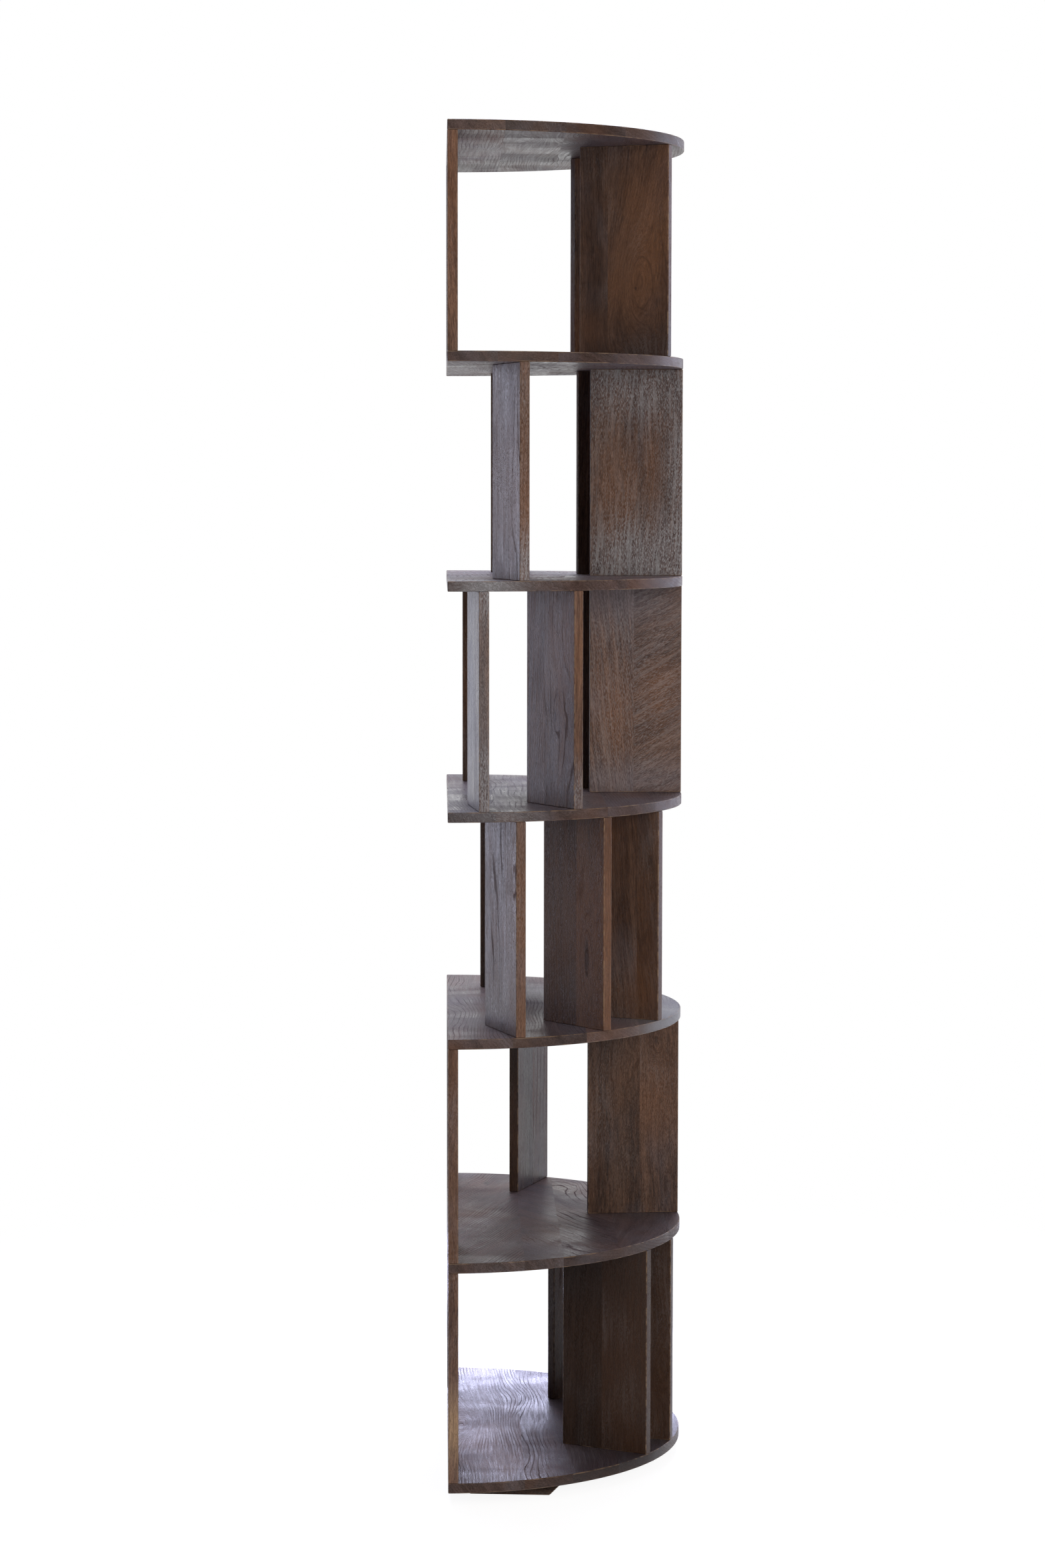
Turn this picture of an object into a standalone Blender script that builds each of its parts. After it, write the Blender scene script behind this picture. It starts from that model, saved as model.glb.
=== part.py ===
"""Tall half-round open bookcase.

Seven half-disc shelf boards stand one above another.  In each of the six bays
between them a fan of narrow uprights holds the boards apart.  Each upright
points out from the middle of the straight back edge and ends flush with the
round rim.  Stub tenons on both ends of an upright sit in blind mortises in
the boards.  Four low runners with sloping ends are screwed under the bottom
board.

Units are metres and +Z is up.  The straight edge faces +Y, the round side
bulges toward -Y, and the origin is on the floor under the middle of the piece.
Angles run round the rim: 0 is the -X end of the straight edge, 90 is the nose
of the curve and 180 is the +X end.
"""
import math

import bmesh
import bpy
from mathutils import Matrix, Vector

# Boards
RIM_RADIUS = 0.360
SHELF_THICKNESS = 0.015
BOARD_EDGE_ROUND = 0.0012
RIM_STEPS = 72

# Clear heights of the bays, from the top down
BAY_1_HEIGHT = 0.312
BAY_2_HEIGHT = 0.314
BAY_3_HEIGHT = 0.318
BAY_4_HEIGHT = 0.315
BAY_5_HEIGHT = 0.314
BAY_6_HEIGHT = 0.311

# Uprights
UPRIGHT_LENGTH = 0.141
UPRIGHT_THICKNESS = 0.015
UPRIGHT_EDGE_ROUND = 0.0013

# Stub tenons and the mortises that take them
TENON_THICKNESS = 0.007
TENON_SETBACK = 0.016
TENON_HEIGHT = 0.005

# Runners under the bottom board
RUNNER_HEIGHT = 0.020
RUNNER_LENGTH = 0.118
RUNNER_WIDTH = 0.052
RUNNER_SLOPE = 45.0
RUNNER_EDGE_ROUND = 0.0015

# Screws that hold the runners
SCREW_SPACING = 0.070
SCREW_HEAD_RADIUS = 0.0040
SCREW_HEAD_HEIGHT = 0.0026
SCREW_SHANK_RADIUS = 0.0020
SCREW_TIP_RADIUS = 0.0007
SCREW_BITE = 0.0080
HEAD_SINK = 0.0060
SCREW_SIDES = 10
BORE_SIDES = 14

# Clearance between pieces that touch
SEAT_GAP = 0.0003

# Smallest turn of a surface that is kept as a sharp edge
SHARP_EDGE = math.radians(50)

# Bays from the top down: clear height, then each upright's angle round the
# rim and how far it is turned off the true radial line, both in degrees.
BAYS = (
    (BAY_1_HEIGHT, ((0, 0), (67, 0), (117, 0), (180, 0))),
    (BAY_2_HEIGHT, ((18, -2.5), (90, 0), (108.5, -8.5), (159.5, 0))),
    (BAY_3_HEIGHT, ((8.4, -2), (32, -4), (91, 0), (111, -1), (171.5, 0))),
    (BAY_4_HEIGHT, ((17.2, 1), (40.8, -3.5), (62.5, 0), (164, 0))),
    (BAY_5_HEIGHT, ((0, 0), (94.5, 0), (154, 4.7), (180, 0))),
    (BAY_6_HEIGHT, ((0, 0), (57, 4), (72, 0), (131, 0), (180, 0))),
)

# Places of the runners' middles.  An end runner is set in from the end of the
# straight edge and forward of it, and turned a little to follow the rim.  A
# nose runner is set out from the centre line and back from the nose.
END_RUNNER_INSET = 0.092
END_RUNNER_FORWARD = 0.0935
END_RUNNER_TURN = 5.0
NOSE_RUNNER_OUT = 0.083
NOSE_RUNNER_SETBACK = 0.104

# Finishes: base colour, roughness and metallic value
BOARD_STAIN = ((0.105, 0.080, 0.072), 0.42, 0.0)
UPRIGHT_STAIN = ((0.075, 0.052, 0.042), 0.46, 0.0)
RUNNER_STAIN = ((0.110, 0.062, 0.036), 0.50, 0.0)
SCREW_STEEL = ((0.430, 0.410, 0.370), 0.36, 1.0)

# Places worked out from the sizes above
BACK_Y = RIM_RADIUS / 2
BACK_MIDDLE = Vector((0.0, BACK_Y))
RUNNER_RUN_OUT = RUNNER_HEIGHT / math.tan(math.radians(RUNNER_SLOPE))
END_RUNNER_X = RIM_RADIUS - END_RUNNER_INSET
END_RUNNER_Y = BACK_Y - END_RUNNER_FORWARD
NOSE_RUNNER_Y = BACK_Y - RIM_RADIUS + NOSE_RUNNER_SETBACK


def clear_scene():
    """Remove what the new file starts with."""
    for item in list(bpy.data.objects):
        bpy.data.objects.remove(item, do_unlink=True)


def make_material(name, finish):
    """A plain Principled material for one sub-part."""
    colour, roughness, metallic = finish
    material = bpy.data.materials.new(name + "_finish")
    material.use_nodes = True
    shader = material.node_tree.nodes["Principled BSDF"]
    shader.inputs["Base Color"].default_value = (*colour, 1.0)
    shader.inputs["Roughness"].default_value = roughness
    shader.inputs["Metallic"].default_value = metallic
    return material


def add_object(name, shape, finish=None):
    """Turn a bmesh into a named object; without a finish it is a cutter."""
    bmesh.ops.recalc_face_normals(shape, faces=shape.faces)
    mesh = bpy.data.meshes.new(name)
    shape.to_mesh(mesh)
    shape.free()
    mesh.shade_smooth()
    mesh.set_sharp_from_angle(angle=SHARP_EDGE)
    item = bpy.data.objects.new(name, mesh)
    bpy.context.scene.collection.objects.link(item)
    if finish is None:
        item.hide_render = True
        item.display_type = "WIRE"
    else:
        mesh.materials.append(make_material(name, finish))
    return item


def cut(item, cutter):
    """Take the cutter's space out of an object."""
    boolean = item.modifiers.new("cut_" + cutter.name, "BOOLEAN")
    boolean.operation = "DIFFERENCE"
    boolean.solver = "EXACT"
    boolean.object = cutter


def add_prism(shape, corners, z_low, z_high):
    """Stand a closed prism on a flat outline; returns its bottom and top faces."""
    ring = [shape.verts.new((corner.x, corner.y, z_low)) for corner in corners]
    bottom = shape.faces.new(ring)
    made = bmesh.ops.extrude_face_region(shape, geom=[bottom])["geom"]
    top = next(part for part in made if isinstance(part, bmesh.types.BMFace))
    raised = [part for part in made if isinstance(part, bmesh.types.BMVert)]
    bmesh.ops.translate(shape, verts=raised, vec=(0, 0, z_high - z_low))
    return bottom, top


def round_edges(shape, edges, radius):
    """Ease edges with a small two-step round."""
    bmesh.ops.bevel(
        shape, geom=edges, offset=radius, offset_type="OFFSET", segments=2,
        profile=0.5, affect="EDGES", material=-1, clamp_overlap=True,
    )


def heading(angle):
    """Flat direction from the middle of the back edge to a place on the rim."""
    turned = math.radians(angle)
    return Vector((-math.cos(turned), -math.sin(turned)))


class Upright:
    """Plan of one upright: where it stands and which way it points."""

    def __init__(self, angle, turn):
        self.along = heading(angle + turn)
        self.across = Vector((-self.along.y, self.along.x))
        self.rim = BACK_MIDDLE + heading(angle) * RIM_RADIUS
        if math.sin(math.radians(angle)) * RIM_RADIUS < UPRIGHT_THICKNESS / 2:
            self.rim.y = BACK_Y - UPRIGHT_THICKNESS / 2
        self.middle = self.rim - self.along * UPRIGHT_LENGTH / 2

    def side_offset(self, side):
        """Step from the middle plane to one broad face."""
        return self.across * side * UPRIGHT_THICKNESS / 2

    def rim_corner(self, side):
        """Where a broad face meets the round rim."""
        start = self.rim + self.side_offset(side) - BACK_MIDDLE
        lead = start.dot(self.along)
        reach = math.sqrt(lead ** 2 - start.length_squared + RIM_RADIUS ** 2) - lead
        return BACK_MIDDLE + start + self.along * reach

    def inner_corner(self, side):
        """The broad face's corner at the square inner end."""
        return self.rim + self.side_offset(side) - self.along * UPRIGHT_LENGTH

    def corners(self):
        """Outline of the upright seen from above."""
        return [
            self.inner_corner(1), self.rim_corner(1),
            self.rim_corner(-1), self.inner_corner(-1),
        ]

    def tenon_corner(self, end, side, grow=0.0):
        """Corner of the tenon, or of its mortise when grown by the clearance."""
        half_length = UPRIGHT_LENGTH / 2 - TENON_SETBACK + grow
        half_thickness = TENON_THICKNESS / 2 + grow
        return self.middle + self.along * end * half_length + self.across * side * half_thickness

    def mortise_corners(self):
        """Outline of the mortise seen from above."""
        ends = ((-1, 1), (1, 1), (1, -1), (-1, -1))
        return [self.tenon_corner(end, side, SEAT_GAP) for end, side in ends]


def add_tenon(shape, face, upright, rise):
    """Raise a stub tenon from the end face of an upright."""
    bmesh.ops.inset_region(shape, faces=[face], thickness=SEAT_GAP, use_even_offset=True)
    for corner in face.verts:
        place = corner.co.xy - upright.middle
        end = math.copysign(1, place.dot(upright.along))
        side = math.copysign(1, place.dot(upright.across))
        corner.co.xy = upright.tenon_corner(end, side)
    tenon = bmesh.ops.extrude_discrete_faces(shape, faces=[face])["faces"][0]
    bmesh.ops.translate(shape, verts=tenon.verts, vec=(0, 0, rise))


def make_upright(name, upright, z_low, z_high):
    """One upright between two boards, with its eased edges and stub tenons."""
    shape = bmesh.new()
    bottom, top = add_prism(
        shape, upright.corners(), z_low + SEAT_GAP, z_high - SEAT_GAP,
    )
    standing = [edge for edge in shape.edges if edge.verts[0].co.xy == edge.verts[1].co.xy]
    add_tenon(shape, bottom, upright, -TENON_HEIGHT)
    add_tenon(shape, top, upright, TENON_HEIGHT)
    round_edges(shape, standing, UPRIGHT_EDGE_ROUND)
    return add_object(name, shape, UPRIGHT_STAIN)


def make_board(name, z_low):
    """One half-disc board with every edge eased."""
    steps = [180.0 * step / RIM_STEPS for step in range(RIM_STEPS + 1)]
    rim = [BACK_MIDDLE + heading(angle) * RIM_RADIUS for angle in steps]
    shape = bmesh.new()
    add_prism(shape, rim, z_low, z_low + SHELF_THICKNESS)
    bmesh.ops.recalc_face_normals(shape, faces=shape.faces)
    edges = [edge for edge in shape.edges if edge.calc_face_angle() > SHARP_EDGE]
    round_edges(shape, edges, BOARD_EDGE_ROUND)
    return add_object(name, shape, BOARD_STAIN)


def make_mortises(name, above, below, z_low):
    """Cutter for the mortises in both faces of the board at z_low."""
    depth = TENON_HEIGHT + SEAT_GAP
    z_high = z_low + SHELF_THICKNESS
    shape = bmesh.new()
    for upright in above:
        add_prism(shape, upright.mortise_corners(), z_high - depth, z_high + depth)
    for upright in below:
        add_prism(shape, upright.mortise_corners(), z_low - depth, z_low + depth)
    return add_object(name, shape)


class Runner:
    """Plan of one runner under the bottom board."""

    def __init__(self, name, side, x, y, turn):
        self.name = name
        middle = Vector((side * x, y, 0.0))
        self.place = Matrix.Translation(middle) @ Matrix.Rotation(math.radians(side * turn), 4, "Z")

    def screw_places(self):
        """Axis of each screw, on the floor."""
        half = SCREW_SPACING / 2
        return [self.place @ Vector((0.0, step, 0.0)) for step in (-half, half)]


def make_runner(runner):
    """A low block, longer at the top, with sloping ends and eased edges."""
    half_foot = RUNNER_LENGTH / 2
    half_top = half_foot + RUNNER_RUN_OUT - SEAT_GAP / math.tan(math.radians(RUNNER_SLOPE))
    z_top = RUNNER_HEIGHT - SEAT_GAP
    profile = ((-half_foot, 0.0), (half_foot, 0.0), (half_top, z_top), (-half_top, z_top))
    shape = bmesh.new()
    ring = [shape.verts.new((-RUNNER_WIDTH / 2, y, z)) for y, z in profile]
    side = shape.faces.new(ring)
    made = bmesh.ops.extrude_face_region(shape, geom=[side])["geom"]
    moved = [part for part in made if isinstance(part, bmesh.types.BMVert)]
    bmesh.ops.translate(shape, verts=moved, vec=(RUNNER_WIDTH, 0, 0))
    bmesh.ops.recalc_face_normals(shape, faces=shape.faces)
    low_edges = [edge for edge in shape.edges if min(v.co.z for v in edge.verts) < z_top / 2]
    round_edges(shape, low_edges, RUNNER_EDGE_ROUND)
    bmesh.ops.transform(shape, matrix=runner.place, verts=shape.verts)
    return add_object(runner.name, shape, RUNNER_STAIN)


def add_turned(shape, profile, axis, sides):
    """Turn a closed round solid from (radius, height) points on an upright axis."""
    base = Vector((axis.x, axis.y, 0.0))
    points = [shape.verts.new(base + Vector((radius, 0.0, z))) for radius, z in profile]
    edges = [shape.edges.new(pair) for pair in zip(points, points[1:])]
    bmesh.ops.spin(
        shape, geom=points + edges, cent=base, axis=(0, 0, 1),
        angle=2 * math.pi, steps=sides, use_merge=True,
    )
    bmesh.ops.remove_doubles(shape, verts=shape.verts, dist=SEAT_GAP / 100)


def screw_profile(z_head):
    """Half section of a countersunk wood screw, from its head up to its tip."""
    z_tip = RUNNER_HEIGHT + SCREW_BITE
    z_neck = z_head + SCREW_HEAD_HEIGHT
    z_taper = z_tip - 2 * SCREW_SHANK_RADIUS
    return (
        (0.0, z_head), (SCREW_HEAD_RADIUS, z_head), (SCREW_SHANK_RADIUS, z_neck),
        (SCREW_SHANK_RADIUS, z_taper), (SCREW_TIP_RADIUS, z_tip), (0.0, z_tip),
    )


def bore_profile(z_head):
    """Half section of the sunk hole through a runner and of the pilot above it."""
    z_tip = RUNNER_HEIGHT + SCREW_BITE + SEAT_GAP
    z_neck = z_head + SCREW_HEAD_HEIGHT + SEAT_GAP
    head = SCREW_HEAD_RADIUS + 2 * SEAT_GAP
    shank = SCREW_SHANK_RADIUS + SEAT_GAP
    return (
        (0.0, -HEAD_SINK), (head, -HEAD_SINK), (head, z_head + SEAT_GAP),
        (shank, z_neck), (shank, z_tip), (0.0, z_tip),
    )


def make_screws(runner):
    """The screws of one runner, each a piece of its own."""
    for number, axis in enumerate(runner.screw_places(), start=1):
        shape = bmesh.new()
        add_turned(shape, screw_profile(HEAD_SINK), axis, SCREW_SIDES)
        add_object(f"{runner.name}_screw_{number}", shape, SCREW_STEEL)


def make_screw_bores(name, runners):
    """Cutter for the screw holes."""
    shape = bmesh.new()
    for runner in runners:
        for axis in runner.screw_places():
            add_turned(shape, bore_profile(HEAD_SINK), axis, BORE_SIDES)
    return add_object(name, shape)


def make_bookcase():
    """Build the piece from the top board down to the runners."""
    z_top = RUNNER_HEIGHT + SHELF_THICKNESS * (len(BAYS) + 1) + sum(bay[0] for bay in BAYS)
    z_board = z_top - SHELF_THICKNESS
    above = []
    board = None
    for number, (clear_height, stands) in enumerate(BAYS, start=1):
        below = [Upright(angle, turn) for angle, turn in stands]
        board = make_board(f"shelf_{number}", z_board)
        cut(board, make_mortises(f"mortises_{number}", above, below, z_board))
        z_floor = z_board - clear_height
        for place, upright in enumerate(below, start=1):
            make_upright(f"bay_{number}_upright_{place}", upright, z_floor, z_board)
        z_board = z_floor - SHELF_THICKNESS
        above = below
    base_number = len(BAYS) + 1
    base = make_board(f"shelf_{base_number}", z_board)
    cut(base, make_mortises(f"mortises_{base_number}", above, [], z_board))

    runners = [
        Runner("runner_left_end", -1, END_RUNNER_X, END_RUNNER_Y, END_RUNNER_TURN),
        Runner("runner_left_nose", -1, NOSE_RUNNER_OUT, NOSE_RUNNER_Y, 0.0),
        Runner("runner_right_nose", 1, NOSE_RUNNER_OUT, NOSE_RUNNER_Y, 0.0),
        Runner("runner_right_end", 1, END_RUNNER_X, END_RUNNER_Y, END_RUNNER_TURN),
    ]
    bores = make_screw_bores("screw_bores", runners)
    cut(base, bores)
    for runner in runners:
        cut(make_runner(runner), bores)
        make_screws(runner)


clear_scene()
make_bookcase()
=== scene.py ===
"""Looks of a tall half-round bookcase in dark stained wood.

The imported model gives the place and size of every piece.  This script models
the boards and uprights again, with softly rounded edges and glued up from
staves, gives every piece its finish, and sets up the floor, the lights and the
camera.

Units are metres and +Z is up.  The straight back edge faces +Y, the round side
bulges toward -Y, and the camera looks along +X, at one end of the straight edge.
"""

import math
import random
from typing import NamedTuple

import bmesh
import bpy
from bpy.props import FloatProperty, FloatVectorProperty, IntProperty, PointerProperty
from mathutils import Matrix, Vector


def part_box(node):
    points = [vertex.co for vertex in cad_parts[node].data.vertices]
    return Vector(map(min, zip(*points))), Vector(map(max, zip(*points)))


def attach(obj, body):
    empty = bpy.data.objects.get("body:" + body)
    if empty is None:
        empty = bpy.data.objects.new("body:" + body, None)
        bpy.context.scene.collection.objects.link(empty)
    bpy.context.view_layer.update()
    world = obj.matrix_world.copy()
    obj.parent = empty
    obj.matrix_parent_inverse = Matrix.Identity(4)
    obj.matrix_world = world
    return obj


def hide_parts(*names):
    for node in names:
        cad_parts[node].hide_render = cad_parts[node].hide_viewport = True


bl_info = {
    "name": "Half-Round Bookcase",
    "version": (1, 0, 0),
    "blender": (4, 5, 0),
    "location": "View3D > Sidebar > Bookcase",
    "description": "Stained wooden bookcase with a fan of uprights in each bay",
    "category": "Object",
}

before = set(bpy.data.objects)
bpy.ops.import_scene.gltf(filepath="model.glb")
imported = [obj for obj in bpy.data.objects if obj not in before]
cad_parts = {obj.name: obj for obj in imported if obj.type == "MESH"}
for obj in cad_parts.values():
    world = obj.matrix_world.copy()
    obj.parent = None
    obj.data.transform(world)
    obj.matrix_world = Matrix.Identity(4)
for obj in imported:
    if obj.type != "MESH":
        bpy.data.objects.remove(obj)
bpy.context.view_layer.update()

UP = Vector((0, 0, 1))

# Seams between the staves of each board: how far each one lies from the nose
BOARD_SEAMS = {
    "shelf_1": (0.030, 0.101, 0.189, 0.277),
    "shelf_2": (0.045, 0.112, 0.200, 0.288),
    "shelf_3": (0.022, 0.097, 0.182, 0.267),
    "shelf_4": (0.050, 0.125, 0.210, 0.290),
    "shelf_5": (0.075, 0.156, 0.265),
    "shelf_6": (0.024, 0.105, 0.190, 0.248),
    "shelf_7": (0.035, 0.105, 0.175, 0.247),
}

# Seams of the uprights that the photograph shows, as a share of the length
# counted from the inner end.  The others get theirs by the dice.
UPRIGHT_SEAMS = {
    "bay_1_upright_2": 0.32,
    "bay_2_upright_1": 0.62,
    "bay_2_upright_2": 0.51,
    "bay_3_upright_3": 0.48,
    "bay_4_upright_1": 0.57,
    "bay_4_upright_2": 0.55,
    "bay_4_upright_3": 0.75,
    "bay_5_upright_2": 0.57,
    "bay_5_upright_3": 0.49,
    "bay_6_upright_2": 0.47,
}

# Staves whose grain leans across the piece, in degrees, inner stave first
LEANS = {
    "bay_1_upright_2": (3, -5),
    "bay_3_upright_3": (6, -60),
    "bay_4_upright_3": (4, 6),
    "shelf_6": (0, 12, -28, -38, 20),
}

# Pieces whose rings lie closer together or further apart than usual, in metres
RING_WIDTHS = {
    "shelf_6": 0.0040,
    "shelf_7": 0.0038,
    "bay_1_upright_2": 0.0070,
    "bay_2_upright_1": 0.0050,
    "bay_4_upright_1": 0.0055,
    "bay_5_upright_2": 0.0060,
    "bay_5_upright_3": 0.0110,
}

# How far the ring lines stand out in the usual board, and where they are clearer
BOARD_RINGS = 0.45
RING_STRENGTHS = {"shelf_5": 0.65, "shelf_6": 0.85, "shelf_7": 1.0}

# How light each stave is beside the usual one, inner stave or nose first.  The dark tones of
# shelf_7's nose staves, of bay_2_upright_4 and of bay 6's inner uprights are painted shade.
TONES_AND_SHADE = {
    "shelf_1": (0.0, -0.3, -0.8, -0.6, 0.6),
    "shelf_3": (0.2, 0.3, 0.5, 0.4, 0.2),
    "shelf_6": (-1.0, -1.0, -0.8, -0.2, 0.3),
    # Painted shade: the nose staves are darker where the right of the top lies in shadow
    "shelf_7": (-2.4, -2.2, -1.6, -0.4, 0.4),
    "bay_1_upright_1": (2.2, 2.2),
    "bay_1_upright_2": (-0.4, -0.1),
    "bay_1_upright_3": (3.0, 3.0),
    "bay_2_upright_1": (-0.2, 0.4),
    "bay_2_upright_2": (0.3, 0.4),
    "bay_2_upright_3": (0.6, 0.6),
    # Painted shade: this upright stands in the shadow of the broad upright before it
    "bay_2_upright_4": (-1.2, -1.2),
    "bay_3_upright_1": (0.5, 0.8),
    "bay_3_upright_2": (0.9, 1.4),
    "bay_3_upright_3": (1.8, 0.8),
    "bay_3_upright_4": (0.0, 0.0),
    "bay_4_upright_2": (-0.6, 1.0),
    "bay_4_upright_3": (-0.2, -0.8),
    "bay_5_upright_1": (0.6, 0.6),
    "bay_5_upright_2": (-1.0, 0.0),
    "bay_5_upright_3": (-2.0, 0.0),
    "bay_6_upright_1": (2.0, 2.0),
    # Painted shade: the uprights deep in the lowest bay are darker
    "bay_6_upright_2": (-2.9, -2.5),
    "bay_6_upright_3": (-2.7, -2.5),
    "bay_6_upright_4": (-2.0, -1.6),
}


class Knot(NamedTuple):
    """A swirl in the grain, with or without a dark heart.

    It lies at a place in the bookcase's own frame.  Reach is its half-size
    along X, Y and Z, push is how far it drives the rings aside, and heart is
    the share of its reach that is dark.
    """

    place: tuple
    reach: tuple
    push: float
    heart: float = 0.0


# Swirls and knots that the photograph shows
KNOTS = {
    "shelf_1": (
        Knot((-0.152, -0.007, 1.994), (0.060, 0.028, 0.05), 0.020),
        Knot((-0.225, 0.055, 1.994), (0.060, 0.024, 0.05), 0.016),
    ),
    "shelf_5": (
        Knot((-0.110, 0.155, 0.690), (0.110, 0.030, 0.05), 0.012),
    ),
    "shelf_6": (
        Knot((0.240, -0.012, 0.361), (0.090, 0.040, 0.05), 0.016),
        Knot((0.235, -0.028, 0.361), (0.034, 0.005, 0.02), 0.003, 0.40),
        Knot((0.265, 0.116, 0.361), (0.050, 0.016, 0.02), 0.008, 0.45),
        Knot((-0.190, 0.120, 0.361), (0.080, 0.030, 0.05), 0.008),
    ),
    "shelf_7": (
        Knot((-0.010, 0.172, 0.035), (0.130, 0.050, 0.05), 0.030),
        Knot((0.019, 0.148, 0.035), (0.050, 0.018, 0.05), 0.026, 0.12),
        Knot((-0.046, 0.156, 0.035), (0.040, 0.015, 0.05), 0.022, 0.12),
        Knot((0.150, 0.070, 0.035), (0.090, 0.030, 0.05), 0.012),
    ),
    "bay_1_upright_2": (
        Knot((-0.1275, -0.1012, 1.795), (0.028, 0.028, 0.075), 0.036),
        Knot((-0.1275, -0.1012, 1.783), (0.003, 0.003, 0.004), 0.003, 0.90),
        Knot((-0.150, -0.140, 1.900), (0.030, 0.030, 0.070), 0.014),
        Knot((-0.110, -0.060, 1.720), (0.030, 0.030, 0.060), 0.016),
    ),
    "bay_3_upright_2": (
        Knot((-0.260, 0.022, 1.152), (0.010, 0.010, 0.030), 0.005, 0.45),
        Knot((-0.228, 0.039, 1.262), (0.003, 0.003, 0.030), 0.003, 0.80),
    ),
    "bay_4_upright_1": (
        Knot((-0.331, 0.086, 0.915), (0.012, 0.012, 0.070), 0.014),
    ),
    "bay_4_upright_2": (
        Knot((-0.246, -0.025, 0.795), (0.010, 0.010, 0.055), 0.009, 0.75),
    ),
    "bay_5_upright_2": (
        Knot((0.018, -0.144, 0.632), (0.012, 0.012, 0.034), 0.012, 0.30),
        Knot((0.019, -0.160, 0.401), (0.006, 0.006, 0.024), 0.005, 0.80),
    ),
    "bay_5_upright_3": (
        Knot((0.280, 0.031, 0.391), (0.004, 0.004, 0.011), 0.004, 0.70),
    ),
    "bay_6_upright_3": (
        Knot((-0.113, -0.144, 0.150), (0.016, 0.016, 0.045), 0.016),
    ),
}


class Patch(NamedTuple):
    """A zone where the finish differs, with its half-sizes and how much of it shows.

    Chalk is pale filler that stayed in the pores.  Matt is a zone with less
    polish, or with more where its share is below 0.  The other kinds are
    colours of the stain, except that some dark zones are painted shade and
    some pale and cool grey zones are painted sheen, one of them a painted
    reflection.
    """

    kind: str
    place: tuple
    reach: tuple
    share: float
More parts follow.
